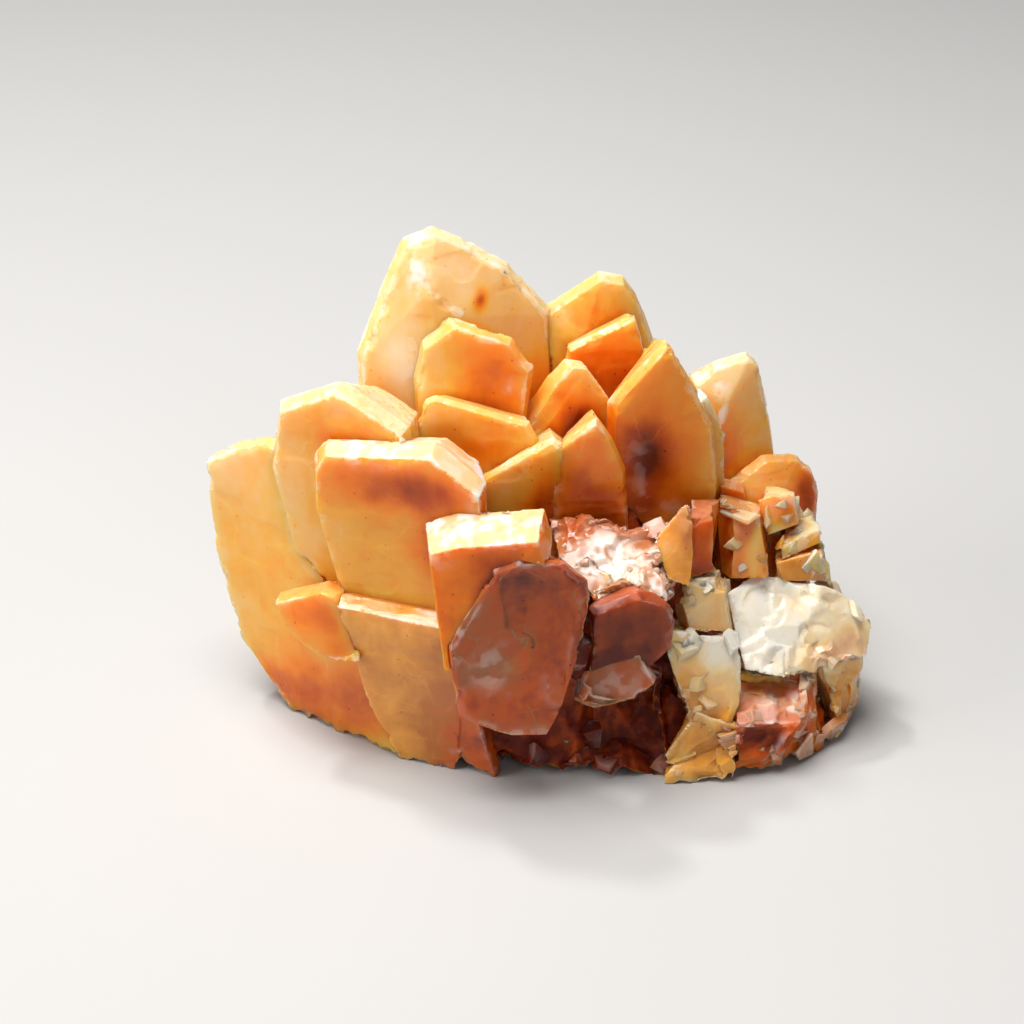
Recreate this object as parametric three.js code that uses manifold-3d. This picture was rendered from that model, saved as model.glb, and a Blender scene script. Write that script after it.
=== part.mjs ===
// A flower-shaped quartz cluster: petal-like blades in rings round a broken root, in millimetres, +Z up.
// The cluster's broken front faces -Y, and its origin is on the ground below the middle of its box.
import * as THREE from "three";
import { ConvexGeometry } from "three/addons/geometries/ConvexGeometry.js";
import { mergeVertices } from "three/addons/utils/BufferGeometryUtils.js";
import Module from "manifold-3d";

// ---------------------------------------------------------------- driving dimensions
const SEAM = 0.3; // clearance between a crystal and the one it grew against
const GROUND = 0; // the cluster is cut flat here, where it was knapped off its bed
const REACH = 100; // half the side of the block that trims everything at the ground

// Each habit says how deep a blade is behind its front face: how far its girdle spreads and lies back,
// and how far its back face is drawn in.
const HABITS = {
  plate: { thick: 4.5, spread: 0.3, girdle: 0.8, taper: 1.5 },
  petal: { thick: 6, spread: 0.35, girdle: 0.7, taper: 2.4 },
  spire: { thick: 7.5, spread: 0.4, girdle: 0.9, taper: 3.4 },
  step: { thick: 4, spread: 0.25, girdle: 0.5, taper: 1.2 },
  bud: { thick: 3.6, spread: 0.3, girdle: 0.8, taper: 1.2 },
};

// Colour, roughness and metalness of each kind of quartz in the cluster.
const QUARTZ = {
  cream_quartz: { color: 0xf2c48a, roughness: 0.3 },
  honey_quartz: { color: 0xeea04a, roughness: 0.28 },
  amber_quartz: { color: 0xe0791f, roughness: 0.26 },
  smoky_brown_quartz: { color: 0x8f4420, roughness: 0.3 },
  frosted_quartz: { color: 0xe2cfc4, roughness: 0.7 },
  golden_quartz: { color: 0xcf9440, roughness: 0.35 },
  rusty_matrix: { color: 0x6f2f18, roughness: 0.8 },
};

// ---------------------------------------------------------------- blades
// outline: corners of the front face, [across, along], going round from the upper left.
// at: where the outline's zero lies. turn: which way the face looks, 0 to the front and negative to the left.
// lean: how far the top tips towards the side it faces. crest: extra corners, [across, along, forward].
// shift: how far the girdle is moved, [right, up], which widens the bevel on that side.
const BLADES = [
  // Broken front, under the flower
  {
    name: "front_lens", kind: "smoky_brown_quartz", habit: "petal",
    at: [-2, -14.7, 7.4], turn: 2, lean: 4, thick: 5.5,
    outline: [[-1, 10.7], [0.5, 11.5], [3, 11.3], [4.5, 9.7], [4.7, 7.6], [3.2, 0.7], [2.3, -1.7],
      [-0.3, -1.7], [-3.3, -0.2], [-3.8, 5.1]],
  },
  {
    name: "front_block", kind: "smoky_brown_quartz", habit: "petal",
    at: [-4, -14.2, 11.8], turn: -8, lean: -2, thick: 5, spread: 0.4, girdle: 2.2, shift: [-0.2, 0.2],
    outline: [[-3.3, 7.5], [-1.3, 8.2], [3.7, 9], [4.1, 7.4], [4.1, -1], [-2.4, -1]],
  },
  {
    name: "dark_lens", kind: "smoky_brown_quartz", habit: "petal",
    at: [5.5, -12.6, 10.4], turn: 10, lean: 8, thick: 5,
    outline: [[-2.4, 3.7], [0.3, 4.8], [2.1, 4], [2.8, 2.7], [2.7, 0.4], [0, -2.5], [-2.4, -1.5]],
  },
  {
    name: "glassy_shard", kind: "smoky_brown_quartz", habit: "bud",
    at: [5, -13.6, 8.2], turn: 5, lean: -5,
    outline: [[-1.3, 3], [1.6, 3], [2.6, 0.9], [1.3, -0.2], [-1.4, -0.7], [-2.6, 0]],
  },
  // Outer ring, front and left
  {
    name: "front_left_petal", kind: "amber_quartz", habit: "petal",
    at: [-9.4, -9.6, 11.2], turn: -17, lean: 4, spread: 0.5, girdle: 2, shift: [-0.5, -0.5],
    outline: [[-5, 10.9], [-4.2, 12.1], [2.7, 13], [5.8, 10.7], [5.8, 3], [3, 0.3], [-0.9, -0.2],
      [-3.7, 0.6], [-5.1, 7.9]],
  },
  {
    name: "front_left_root_petal", kind: "golden_quartz", habit: "petal",
    at: [-8, -9.8, -0.3], turn: -18, lean: 8, spread: 0.4, girdle: 1,
    outline: [[-5, 13], [-3.8, 12], [2.2, 12.7], [2.8, 11.6], [5.2, 0], [-1.6, 0], [-3.4, 4.8]],
  },
  {
    name: "left_bud", kind: "amber_quartz", habit: "bud",
    at: [-14.2, -9.4, 9.2], turn: -25, lean: 0, thick: 4, girdle: 1.6, shift: [-0.3, -0.3],
    outline: [[-3.7, 2.3], [-0.2, 4], [1.4, 3.8], [2.4, -0.6], [0.2, -1.1], [-1.6, -0.4], [-3, 0.8]],
  },
  {
    name: "left_petal", kind: "honey_quartz", habit: "petal",
    at: [-13, -6.2, 9], turn: -24, lean: 2, spread: 0.5, girdle: 1.4, shift: [-0.4, -0.3],
    outline: [[-4.8, 10.7], [-4, 15.2], [0, 17.3], [0.9, 17.1], [4.6, 15.3], [6, 3.4], [0, 1.7],
      [-3.6, 4.8]],
  },
  {
    name: "left_outer_petal", kind: "cream_quartz", habit: "plate",
    at: [-11.5, -7.9, 4], turn: -36, lean: 0,
    outline: [[-13.7, 13.7], [-11, 15.5], [-8.6, 16.7], [0, 16], [2.4, -6], [-5.4, -6], [-7.8, -3.6],
      [-11.6, 0.6], [-13.3, 7]],
  },
  // Inner ring
  {
    name: "tall_petal", kind: "cream_quartz", habit: "spire",
    at: [-5, 1, 19.5], turn: 8, lean: -6,
    outline: [[-5.2, 9.8], [-3.7, 13.3], [-1.9, 13.9], [0, 13], [2.8, 11.2], [5.4, 8.1], [6, -6],
      [-6, -6], [-6.9, 2], [-6.7, 6]],
    crest: [[-2.4, 10.6, 1.5], [-0.5, 8.8, 1.7], [-1, -4, 2.2]],
  },
  {
    name: "centre_left_block", kind: "amber_quartz", habit: "petal",
    at: [-5, -2, 20.5], turn: -6, lean: -6, thick: 5,
    outline: [[-2.8, 6.2], [-0.8, 7.8], [2.7, 6.8], [4, 5], [3.4, 2], [3, -6], [-3.2, -6], [-3.2, 4]],
  },
  {
    name: "centre_left_step", kind: "honey_quartz", habit: "step",
    at: [-5, -4.2, 20.5], turn: -8, lean: -4,
    outline: [[-2.6, 3.5], [-2, 3.8], [3.9, 2.4], [4.9, 0.4], [4, -6], [-3, -6], [-3.3, 1.4]],
  },
  {
    name: "front_peak_right", kind: "amber_quartz", habit: "step",
    at: [3, -6, 15.6], turn: 2, lean: 2,
    outline: [[-1.8, 6.6], [0.4, 8.4], [1.3, 7], [2.1, 4.7], [2.8, -3], [-2.8, -3], [-2.2, 4]],
  },
  {
    name: "front_peak_left", kind: "amber_quartz", habit: "step",
    at: [0, -6, 15.6], turn: -4, lean: 2,
    outline: [[-4.4, 3.6], [-1.4, 5.6], [0.6, 7], [1.3, 6.4], [2.2, -3], [-4, -3]],
  },
  {
    name: "centre_petal", kind: "amber_quartz", habit: "petal",
    at: [1.2, -1.8, 18], turn: 4, lean: 0, thick: 5, girdle: 1, shift: [-0.5, -0.2],
    outline: [[-0.2, 6.6], [0.8, 7.8], [1.8, 7.6], [3.3, 5.2], [3.4, -4], [-3.2, -4], [-2, 3.5]],
  },
  {
    name: "back_petal_step", kind: "amber_quartz", habit: "step",
    at: [4, 1.2, 19], turn: 10, lean: 0,
    outline: [[-2.2, 6.6], [0.2, 7.4], [2.1, 8.5], [2.7, 6.2], [2.4, -4], [-3, -4]],
  },
  {
    name: "back_petal", kind: "honey_quartz", habit: "spire",
    at: [4, 3, 18], turn: 8, lean: -4,
    outline: [[-3.9, 8.9], [0, 11.4], [1.5, 11], [2.5, 9.3], [3.6, 6], [4.4, -5], [-5.5, -5],
      [-5.2, 7.6]],
    crest: [[-1.6, 8, 0.8], [-2.4, 0, 1.4]],
  },
  {
    name: "right_petal", kind: "smoky_brown_quartz", habit: "petal",
    at: [8, -3.5, 15.5], turn: 6, lean: 2, spread: 0.3,
    outline: [[-3.3, 8.7], [-0.1, 12.7], [2, 8.8], [2.9, 6.4], [3.4, 3], [3.6, -3], [-2.4, -3],
      [-3.4, 4.5]],
  },
  {
    name: "right_spine", kind: "honey_quartz", habit: "bud",
    at: [11.6, -1.8, 15], turn: 20, lean: 0,
    outline: [[-1.6, 8.4], [-0.9, 8.8], [0.4, 6], [0.9, -3], [-1.6, -3]],
  },
  {
    name: "right_back_petal", kind: "honey_quartz", habit: "petal",
    at: [14, 2, 13.5], turn: 14, lean: -4,
    outline: [[-3.6, 9.4], [-2.2, 10.1], [0, 10.6], [0.7, 10.1], [1.3, 7], [2, 3.4], [2.4, -4],
      [-3.5, -4], [-3.7, 7.6]],
    crest: [[-1.7, 8.2, 1], [-2.2, 5, 1.4], [-2.2, -3, 1.8]],
  },
  {
    name: "right_wedge", kind: "amber_quartz", habit: "bud",
    at: [12.8, -1.8, 13.4], turn: 10, lean: 0,
    outline: [[-0.8, 3.6], [0.8, 3], [1.4, 0.5], [0.6, -4], [-1.2, -4]],
  },
  {
    name: "right_low_petal", kind: "honey_quartz", habit: "petal",
    at: [16.2, -1, 10.2], turn: 25, lean: -14,
    outline: [[-2.8, 6.3], [-0.2, 7.5], [2.2, 7.1], [3.2, 6.1], [3.6, 4.8], [3, 1.2], [2, -4],
      [-3.2, -4], [-3.1, 3]],
    crest: [[-0.4, 4.6, 1], [-0.5, -2, 1.6]],
  },
];

// Rear rings: the same blades, described by size, [width, height], instead of corner by corner.
const REAR_BLADES = [
  { name: "rear_left_petal", kind: "cream_quartz", at: [-12, 3, 4], turn: -105, lean: 14, size: [12, 15] },
  { name: "rear_petal_1", kind: "honey_quartz", at: [-7, 8, 4], turn: -150, lean: 12, size: [11, 19] },
  { name: "rear_petal_2", kind: "cream_quartz", at: [2, 9, 4], turn: 172, lean: 10, size: [12, 18] },
  { name: "rear_petal_3", kind: "amber_quartz", at: [10, 7, 4], turn: 146, lean: 12, size: [10, 15] },
  { name: "rear_right_petal", kind: "honey_quartz", at: [15, 3, 3], turn: 108, lean: 16, size: [9, 10] },
  { name: "rear_low_left", kind: "amber_quartz", at: [-9, 10, 0], turn: -132, lean: 24, size: [9, 9] },
  { name: "rear_low_middle", kind: "golden_quartz", at: [-1, 12, 0], turn: 178, lean: 24, size: [9, 10] },
  { name: "rear_low_right", kind: "honey_quartz", at: [9, 10, 0], turn: 150, lean: 22, size: [8, 8] },
];

// ---------------------------------------------------------------- broken lumps
// Each lump is the hull of its corners. The root's lumps join into one piece, and the others stay apart.
const ROOT_LUMPS = [
  // bed under the whole cluster
  [[-9, -9, 0], [4, -12, 0], [12, -10, 0], [15, -3, 0], [12, 7, 0], [2, 11, 0], [-8, 9, 0], [-12, 1, 0],
    [-10, -7, 7], [3, -10, 8], [12, -8, 7], [15, 1, 8], [8, 8, 9], [-6, 8, 9], [-12, 0, 8]],
  // heart that the inner ring grew from
  [[-8, -6, 7], [4, -8, 7], [11, -5, 7], [12, 3, 7], [2, 7, 7], [-9, 4, 7],
    [-6, -3, 16], [5, -4, 17], [9, -1, 16], [4, 4, 17], [-5, 3, 17]],
  // dark hollow below the front lens
  [[-6, -10.4, 0], [0, -10.6, 0], [4, -11.6, 0], [8.4, -12.1, 0], [9, -8, 0], [-6, -8, 0],
    [-5, -10.6, 6], [3, -10.6, 8], [8, -10.4, 7], [8, -8, 8], [-5, -8, 8]],
];

const LUMPS = [
  {
    name: "beige_shard", kind: "golden_quartz",
    corners: [[9, -8.4, 19.4], [9.8, -9, 17.6], [8, -10.4, 14.8], [7.2, -9.2, 17.2], [9.4, -10.4, 14.4],
      [9.4, -6, 18], [9, -6, 13]],
  },
  {
    name: "frosty_saddle", kind: "frosted_quartz",
    corners: [[0, -7, 17.4], [10, -7, 17.2], [9.5, -9.4, 15.6], [8, -12, 14.4], [4, -12.8, 13.8],
      [1, -10.4, 16.2], [1, -6, 13], [9, -6, 13], [7, -11, 12.5], [3.6, -11, 12.5]],
  },
  {
    name: "amber_column", kind: "amber_quartz",
    corners: [[9.4, -7, 17.4], [11, -7, 17.4], [11.4, -7.8, 13.6], [9.4, -8.4, 13.6], [9.4, -4, 17.2],
      [11.2, -4, 17.2], [11.2, -4, 13], [9.4, -4, 13]],
  },
  {
    name: "milky_slab", kind: "frosted_quartz",
    corners: [[12.2, -6.8, 11.6], [14, -5.4, 12.2], [18.8, -4.6, 11.2], [20.4, -4.4, 9.9],
      [22.5, -4, 7.4], [22, -6, 6], [17, -9.6, 6.6], [13.4, -9.6, 7.4], [13, -3, 5], [19.6, 0, 9],
      [21, 0, 5], [14, 0, 8]],
  },
  {
    name: "brown_root_block", kind: "honey_quartz",
    corners: [[12.2, -4, 17], [14.2, -4, 16.4], [15, -5.4, 13], [12, -6, 12.8], [12.4, -1, 16],
      [15, -1, 15], [15, -2, 11], [12, -2, 11]],
  },
  {
    name: "right_cube_upper", kind: "amber_quartz",
    corners: [[14.6, -3.6, 16.6], [16.4, -3.6, 16.6], [16.8, -4, 14.6], [15.2, -4.6, 14.2],
      [15, -1, 16], [16.8, -1, 15.6], [16.8, -1, 12.6], [15, -1, 12.6]],
  },
  {
    name: "right_cube_ledge", kind: "amber_quartz",
    corners: [[15.4, -4.2, 14], [18.8, -3, 14.2], [18.8, -3.2, 13], [16, -4.8, 12.8], [16, 0, 13.8],
      [18.6, 0, 13.8], [18.6, 0, 12], [16, 0, 12]],
  },
  {
    name: "right_cube_lower", kind: "golden_quartz",
    corners: [[15.6, -5, 12.7], [18.8, -4, 12.7], [19.4, -3.4, 10], [17, -5.4, 9.8], [16, 0, 12],
      [19, 0, 12], [19.4, 0, 7], [16, -1, 7]],
  },
  {
    name: "yellow_shard", kind: "golden_quartz",
    corners: [[8, -11, 11.4], [12.6, -9.6, 10], [13.2, -10.6, 6], [12.4, -11.6, 3.8], [9.6, -11.8, 4.6],
      [8.4, -11.4, 7], [9, -7, 9.6], [13, -7, 9], [12, -8, 3], [9, -8, 4]],
  },
  {
    name: "beige_splinter", kind: "frosted_quartz",
    corners: [[8.4, -8.8, 14.4], [11.6, -8.4, 14.6], [12.4, -8.8, 11], [9.8, -10, 10.4], [9, -6, 14],
      [12, -6, 14], [12, -6, 9], [9, -7, 9]],
  },
  {
    name: "golden_shard", kind: "golden_quartz",
    corners: [[6.8, -12.2, 2], [8.8, -12.2, 5.6], [12.6, -12, 4], [13.2, -12, 0], [7.6, -12.2, 0],
      [9, -9, 5], [13, -9, 4], [13, -8, 0], [8, -9, 0]],
  },
  {
    name: "rusty_lump", kind: "rusty_matrix",
    corners: [[12.8, -11.8, 4.6], [17, -11, 4.4], [19, -9, 2.6], [19.2, -8, 0], [17.4, -9.8, 0],
      [14.6, -11.8, 0], [13, -11.8, 0], [13, -8, 6.4], [19, -7, 6], [19.4, -6, 0], [13, -6, 0]],
  },
  {
    name: "end_block", kind: "golden_quartz",
    corners: [[18.2, -8, 6.4], [21.8, -6, 5.4], [22, -5.4, 2.2], [21, -6, 0], [19.4, -7.8, 0],
      [18.6, -2, 7], [21.6, -2, 6.4], [21.6, -2, 1], [19, -3, 0]],
  },
];

// ---------------------------------------------------------------- making solids
const wasm = await Module();
wasm.setup();

const radians = THREE.MathUtils.degToRad;

function solidFrom(geometry) {
  const bare = geometry.clone();
  bare.deleteAttribute("normal");
  bare.deleteAttribute("uv");
  const merged = mergeVertices(bare, 1e-3);
  return new wasm.Manifold(
    new wasm.Mesh({
      numProp: 3,
      vertProperties: merged.attributes.position.array,
      triVerts: new Uint32Array(merged.index.array),
    }),
  );
}

function geometryFrom(solid) {
  const mesh = solid.getMesh();
  const geometry = new THREE.BufferGeometry();
  geometry.setAttribute("position", new THREE.BufferAttribute(mesh.vertProperties, 3));
  geometry.setIndex(new THREE.BufferAttribute(mesh.triVerts, 1));
  return geometry;
}

const hullOf = (corners) => solidFrom(new ConvexGeometry(corners));

// The same hull, larger by the seam on every side, to cut its neighbours back with.
function grownHullOf(corners) {
  const signs = [-SEAM, SEAM];
  const moved = corners.flatMap((c) =>
    signs.flatMap((x) => signs.flatMap((y) => signs.map((z) => c.clone().add(new THREE.Vector3(x, y, z))))),
  );
  return hullOf(moved);
}

// An outline made larger (or smaller) by moving each corner away from its middle.
function spreadOutline(outline, by) {
  const middle = outline
    .reduce((sum, [across, along]) => [sum[0] + across, sum[1] + along], [0, 0])
    .map((total) => total / outline.length);
  return outline.map(([across, along]) => {
    const away = new THREE.Vector2(across - middle[0], along - middle[1]);
    away.setLength(Math.max(away.length() + by, 0.2));
    return [middle[0] + away.x, middle[1] + away.y];
  });
}

// Corners of a blade in its own frame: front face at y = 0, girdle and back face behind it.
function bladeCorners({ outline, crest = [], ...own }) {
  const { thick, spread, girdle, taper, shift = [0, 0] } = { ...HABITS[own.habit], ...own };
  const ring = (by, depth, [right, up] = [0, 0]) =>
    spreadOutline(outline, by).map(([across, along]) => new THREE.Vector3(across + right, depth, along + up));
  return [
    ...ring(0, 0),
    ...ring(spread, girdle, shift),
    ...ring(-taper, thick),
    ...crest.map(([across, along, forward]) => new THREE.Vector3(across, -forward, along)),
  ];
}

// A petal's outline from its width and height: narrow at the root, widest below the middle, with a blunt tip.
function petalOutline([width, height]) {
  const half = width / 2;
  return [
    [-half * 0.55, height * 0.86], [-half * 0.1, height], [half * 0.45, height * 0.92],
    [half * 0.95, height * 0.6], [half, height * 0.3], [half * 0.7, -2], [-half * 0.7, -2],
    [-half, height * 0.35],
  ];
}

const flower = new THREE.Group();
const grown = []; // what is already in the cluster, made larger by the seam
const aboveGround = solidFrom(
  new THREE.BoxGeometry(2 * REACH, 2 * REACH, 2 * REACH).translate(0, 0, GROUND + REACH),
);

// Trims a solid at the ground and against everything that grew before it, and keeps its largest piece.
function grownAgainst(solid, before) {
  let left = solid.intersect(aboveGround);
  for (const neighbour of before) left = left.subtract(neighbour);
  return left.decompose().sort((a, b) => b.volume() - a.volume())[0];
}

function addCrystal(mesh, kind, name, solid) {
  mesh.name = name;
  mesh.material = new THREE.MeshStandardMaterial({ ...QUARTZ[kind], metalness: 0 });
  mesh.updateMatrixWorld(true);
  mesh.geometry = geometryFrom(solid).applyMatrix4(mesh.matrixWorld.clone().invert());
  flower.add(mesh);
}

function addBlade(blade) {
  const mesh = new THREE.Mesh();
  mesh.position.set(...blade.at);
  mesh.rotation.set(radians(blade.lean), 0, radians(blade.turn), "ZXY");
  mesh.updateMatrixWorld(true);
  const corners = bladeCorners(blade).map((corner) => corner.applyMatrix4(mesh.matrixWorld));
  addCrystal(mesh, blade.kind, blade.name, grownAgainst(hullOf(corners), grown));
  grown.push(grownHullOf(corners));
}

function addLump({ name, kind, corners }) {
  const points = corners.map((corner) => new THREE.Vector3(...corner));
  addCrystal(new THREE.Mesh(), kind, name, grownAgainst(hullOf(points), grown));
  grown.push(grownHullOf(points));
}

function addRoot() {
  const lumps = ROOT_LUMPS.map((corners) => corners.map((corner) => new THREE.Vector3(...corner)));
  const joined = lumps.map(hullOf).reduce((whole, lump) => whole.add(lump));
  addCrystal(new THREE.Mesh(), "rusty_matrix", "root_matrix", grownAgainst(joined, []));
  grown.push(...lumps.map(grownHullOf));
}

addRoot();
BLADES.forEach(addBlade);
LUMPS.forEach(addLump);
REAR_BLADES.forEach(({ size, ...blade }) =>
  addBlade({ ...blade, habit: "petal", outline: petalOutline(size) }),
);

// Centred over the origin, so that the origin is the middle of the base.
const middle = new THREE.Box3().setFromObject(flower, true).getCenter(new THREE.Vector3());
flower.position.set(-middle.x, -middle.y, 0);

export default flower;
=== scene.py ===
# %% [markdown]
# # A quartz flower: crystal blades on a broken root
# Flower quartz grows as rings of thin, petal-like blades from one root. Iron colours it from cream through
# honey and amber to red-brown, and a knock exposes white, sugary breaks. The CAD model holds each blade as
# a flat-faced solid. Here every one becomes a fine mesh with broken edges, closed seams and colour that
# changes inside it.

import itertools
import math

import bpy
import numpy as np
from mathutils import Matrix, Vector
from mathutils.bvhtree import BVHTree


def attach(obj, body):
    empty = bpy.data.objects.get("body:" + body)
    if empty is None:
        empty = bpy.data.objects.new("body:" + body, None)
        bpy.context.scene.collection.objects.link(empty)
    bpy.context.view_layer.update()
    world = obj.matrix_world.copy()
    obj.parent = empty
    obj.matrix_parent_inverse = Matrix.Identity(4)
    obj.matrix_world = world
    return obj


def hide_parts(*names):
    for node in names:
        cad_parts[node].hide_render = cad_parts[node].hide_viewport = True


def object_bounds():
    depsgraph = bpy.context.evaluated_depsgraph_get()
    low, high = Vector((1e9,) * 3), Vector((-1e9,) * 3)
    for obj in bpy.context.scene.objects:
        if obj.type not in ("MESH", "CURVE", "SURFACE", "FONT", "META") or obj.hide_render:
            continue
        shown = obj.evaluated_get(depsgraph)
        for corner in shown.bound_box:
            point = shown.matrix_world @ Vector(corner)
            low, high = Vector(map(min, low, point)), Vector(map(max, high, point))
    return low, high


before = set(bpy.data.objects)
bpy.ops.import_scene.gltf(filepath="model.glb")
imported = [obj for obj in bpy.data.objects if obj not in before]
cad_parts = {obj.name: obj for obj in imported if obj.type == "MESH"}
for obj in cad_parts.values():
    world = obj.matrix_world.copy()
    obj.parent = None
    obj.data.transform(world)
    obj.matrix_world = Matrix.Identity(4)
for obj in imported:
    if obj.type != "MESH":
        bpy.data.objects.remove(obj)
cad_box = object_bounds()
low, high = cad_box
size = high - low
middle = (low + high) / 2
MM = 0.001  # the frame is in metres, and crystals are worked on in millimetres
print("frame:", len(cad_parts), "crystals, box in mm", [round(s / MM, 1) for s in size])

# %% [markdown]
# ## Camera, light and floor
# A specimen this small is lit like jewellery: a wide soft box above it makes the top bevels flare, a second
# one at the left lights the faces, a weak one in front opens the shadows with the pale floor, and a small
# one behind makes sharp glints. Area lights are used because a crystal shows the shape of its lights.

# %% Camera
TILT = math.radians(30)
DISTANCE = 164.5 * MM
ASIDE, NEARER, LOWER = 0.0435, 0.009, 0.0865  # how far off the middle the camera aims, in cluster sizes
aim = middle - Vector((ASIDE * size.x, NEARER * size.y, LOWER * size.z))
bpy.ops.object.camera_add(
    location=aim + DISTANCE * Vector((0, -math.cos(TILT), math.sin(TILT))),
    rotation=(math.pi / 2 - TILT, 0, 0),
)
camera = bpy.context.object
camera.name = "camera"
camera.data.lens = 85
camera.data.sensor_width = 36
camera.data.clip_start = 0.01
bpy.context.scene.camera = camera
print("camera at", [round(c / MM, 1) for c in camera.location], "mm")


# %% Lights
def soft_box(name, place, side, power, tint):
    """A square area light at place, in metres, that faces the cluster."""
    bpy.ops.object.light_add(type="AREA", location=place)
    light = bpy.context.object
    light.name = name
    light.rotation_euler = (middle - Vector(place)).to_track_quat("-Z", "Y").to_euler()
    light.data.size = side
    light.data.energy = power
    light.data.color = tint
    return light


soft_box("top_box", (-0.05, -0.03, 0.30), 0.18, 1.36, (1.0, 0.985, 0.96))
soft_box("left_box", (-0.30, -0.10, 0.16), 0.16, 0.62, (1.0, 0.97, 0.93))
soft_box("front_box", (0.12, -0.36, 0.22), 0.24, 0.2, (1.0, 0.98, 0.96))
soft_box("glint_box", (-0.10, 0.08, 0.28), 0.03, 0.4, (1.0, 1.0, 1.0))
world = bpy.data.worlds.new("studio")
world.use_nodes = True
surroundings = world.node_tree.nodes["Background"]
surroundings.inputs["Color"].default_value = (0.93, 0.95, 1.0, 1)
surroundings.inputs["Strength"].default_value = 0.12
bpy.context.scene.world = world
bpy.context.scene.view_settings.view_transform = "Standard"

# %% Floor
bpy.ops.mesh.primitive_plane_add(size=3, location=(0, 0, low.z))
floor = bpy.context.object
floor.name = "floor"
paper = bpy.data.materials.new("pale_paper")
paper.use_nodes = True
paper_shader = paper.node_tree.nodes["Principled BSDF"]
paper_shader.inputs["Base Color"].default_value = (0.42, 0.415, 0.41, 1)
paper_shader.inputs["Roughness"].default_value = 0.85
floor.data.materials.append(paper)

# %% [markdown]
# ## Measuring tools for the meshes
# The shapes below are made by moving many points a little, so a few measuring tools come first: smooth
# noise that is the same on every run, the distance to the nearest crystal edge, and how much quartz or air
# lies along a point's normal. The last two also steer the colour: quartz is palest at its thin rims and
# richest in its heart, its upward rims get a white crust that is partly a painted highlight, and where
# little air lies before a neighbour it is darkened as painted shade.


# %% Noise
def lattice(i, j, k, seed):
    """A repeatable random number from -1 to 1 for each point of a whole-number grid."""
    mixed = (i * 73856093) ^ (j * 19349663) ^ (k * 83492791) ^ (seed * 40503001)
    mixed = ((mixed ^ (mixed >> 13)) * 1274126177) & 0xFFFFFFFF
    mixed ^= mixed >> 16
    return (mixed & 0xFFFF) / 0x7FFF - 1.0


def noise(points, lump, seed=0):
    """Smooth noise from -1 to 1, whose lumps are about as wide as given."""
    scaled = points / lump + 1000.0
    cell = np.floor(scaled).astype(np.int64)
    part = scaled - cell
    part = part * part * (3 - 2 * part)
    total = np.zeros(len(points))
    for corner in itertools.product((0, 1), repeat=3):
        share = np.prod(np.where(corner, part, 1 - part), axis=1)
        total += share * lattice(*(cell + corner).T, seed)
    return total


def ramp(value, start, end):
    """0 at start, 1 at end, and smooth between them."""
    t = np.clip((value - start) / (end - start), 0, 1)
    return t * t * (3 - 2 * t)


# %% Reading and writing a mesh
def points_of(mesh):
    """The mesh's points and their normals, as two arrays."""
    points = np.empty(len(mesh.vertices) * 3)
    mesh.vertices.foreach_get("co", points)
    normals = np.empty(len(mesh.vertices) * 3)
    mesh.vertex_normals.foreach_get("vector", normals)
    return points.reshape(-1, 3), normals.reshape(-1, 3)


def set_points(mesh, points):
    """Moves the mesh's points to the given places."""
    mesh.vertices.foreach_set("co", points.ravel())
    mesh.update()


def set_mask(mesh, name, values):
    """Stores a value from 0 to 1 on every point, for a shader to read by name."""
    mask = mesh.attributes.new(name, "FLOAT", "POINT")
    mask.data.foreach_set("value", np.clip(values, 0, 1).astype(np.float32))


# %% Edges of a crystal
SHARP = math.cos(math.radians(20))


def sharp_edges(mesh, counted):
    """The two ends of every edge where two counted faces meet at more than 20 degrees."""
    sides = {}
    for face in mesh.polygons:
        if counted[face.index]:
            for key in face.edge_keys:
                sides.setdefault(key, []).append(face.normal)
    found = [key for key, pair in sides.items() if len(pair) == 2 and pair[0].dot(pair[1]) < SHARP]
    ends = np.array([[mesh.vertices[i].co[:] for i in key] for key in found]).reshape(-1, 2, 3)
    return ends[:, 0], ends[:, 1]


def nearest_edge(points, starts, ends):
    """How far each point is from the nearest of the edges, and the nearest place on it."""
    away = np.full(len(points), np.inf)
    place = points.copy()
    for start, end in zip(starts, ends):
        along = end - start
        t = np.clip((points - start) @ along / (along @ along), 0, 1)
        spot = start + t[:, None] * along
        length = np.linalg.norm(points - spot, axis=1)
        closer = length < away
        away[closer] = length[closer]
        place[closer] = spot[closer]
    return away, place


# %% Looking along the normals
# Within this reach a near neighbour darkens a point's colour as painted shade.
SKY = 4.0  # nothing further off than this, in mm, shades a point


def tree_of(mesh):
    """A search tree of the mesh's faces."""
    return BVHTree.FromPolygons([v.co for v in mesh.vertices], [p.vertices for p in mesh.polygons])


def look_along(points, directions, tree, reach):
    """The distance from each point to what its ray meets, or reach where it meets nothing."""
    seen = np.full(len(points), reach)
    for i, (point, direction) in enumerate(zip(points.tolist(), directions.tolist())):
        distance = tree.ray_cast(point, direction, reach)[3]
        if distance is not None:
            seen[i] = distance
    return seen


# %% The solids, in millimetres
solids = {}
for name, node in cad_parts.items():
    solid = node.data.copy()
    solid.transform(Matrix.Scale(1 / MM, 4))
    solids[name] = solid


def tree_of_solids(names):
    """One search tree of several crystals."""
    corners, faces = [], []
    for name in names:
        start = len(corners)
        corners.extend(v.co for v in solids[name].vertices)
        faces.extend([start + i for i in p.vertices] for p in solids[name].polygons)
    return BVHTree.FromPolygons(corners, faces)


print("measured", sum(len(s.polygons) for s in solids.values()), "flat faces")

# %% [markdown]
# ## From a flat-faced solid to a fine mesh
# A copy of the CAD solid is merged, and its coplanar triangles are dissolved. Crystals that grew against
# each other have no gap between them, so each face that stopped at an older neighbour moves on until it is
# just inside it. Remesh then covers the body with even quads, Shrinkwrap lays them on the flat faces again,
# and the points nearest an edge are put on it. That keeps planes and edges true, and gives points
# everywhere to chip, ripple and colour.

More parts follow.
